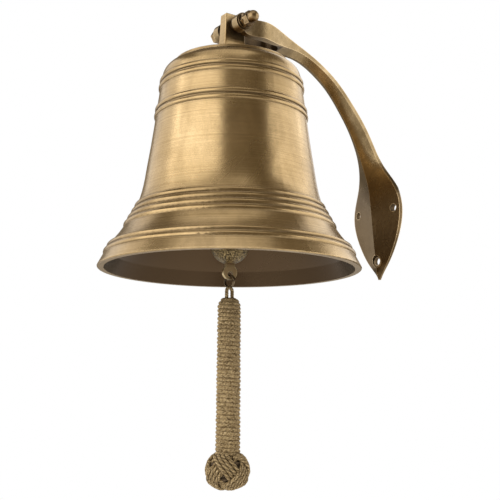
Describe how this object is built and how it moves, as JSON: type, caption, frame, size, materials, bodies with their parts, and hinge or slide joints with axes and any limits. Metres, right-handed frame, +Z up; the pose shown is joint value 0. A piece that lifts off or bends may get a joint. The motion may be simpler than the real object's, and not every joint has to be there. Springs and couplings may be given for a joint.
{
  "type": "ship bell",
  "caption": "Wall-mounted brass ship bell hung from a curved forked bracket, with a clapper on a link and a rope-served lanyard with an end knot.",
  "frame": {"origin": "on the wall plane, midway between the two upper screw holes of the bracket", "axes": "+Z up, +Y into the wall, so the bell hangs on the -Y side; +X to the right of someone facing the wall, and the pivot bolt lies along X"},
  "size_m": [0.2032, 0.2566, 0.3734],
  "materials": {
    "antique_brass": "satin, antiqued, fine turned lines",
    "brass_hardware": "satin, slightly darkened",
    "clapper_brass": "filed, satin",
    "cast_brass": "rough as cast, dark",
    "dark_wire": "dark patinated wire",
    "jute_twine": "laid jute twine, matte"
  },
  "bodies": {
    "bracket": {"wall_bracket": "antique_brass", "pivot_bolt": "brass_hardware", "head_washer": "brass_hardware", "nut_washer": "brass_hardware", "jam_nut": "brass_hardware", "cap_nut": "brass_hardware", "spacer_left": "brass_hardware", "spacer_right": "brass_hardware"},
    "bell": {"bell_shell": "antique_brass", "crown_hanger": "antique_brass", "crown_washer": "brass_hardware", "crown_nut": "brass_hardware", "clapper_eye": "clapper_brass"},
    "link": {"clapper_link": "clapper_brass"},
    "clapper": {"clapper_rod": "clapper_brass", "clapper_ball": "cast_brass"},
    "ring": {"lanyard_ring": "dark_wire"},
    "lanyard": {"lanyard_eye": "jute_twine", "lanyard_core": "jute_twine", "lanyard_wrap": "jute_twine", "lanyard_knot": "jute_twine"}
  },
  "joints": [
    {"name": "bell_swing", "type": "hinge", "parent": "bracket", "child": "bell", "pos_m": [0, -0.155, 0.1324], "axis": [1, 0, 0], "range_deg": [-60, 12]},
    {"name": "clapper_swing", "type": "hinge", "parent": "bell", "child": "link", "pos_m": [0, -0.155, 0.06], "axis": [1, 0, 0], "range_deg": [-31, 31]},
    {"name": "clapper_sway", "type": "hinge", "parent": "link", "child": "clapper", "pos_m": [0, -0.155, 0.0481], "axis": [0, 1, 0], "range_deg": [-10, 10]},
    {"name": "ring_swing", "type": "hinge", "parent": "clapper", "child": "ring", "pos_m": [0, -0.155, -0.06895], "axis": [-0.9659, -0.2588, 0], "range_deg": [-45, 45]},
    {"name": "lanyard_swing", "type": "hinge", "parent": "ring", "child": "lanyard", "pos_m": [0, -0.155, -0.07585], "axis": [0.2588, -0.9659, 0], "range_deg": [-45, 45]}
  ]
}
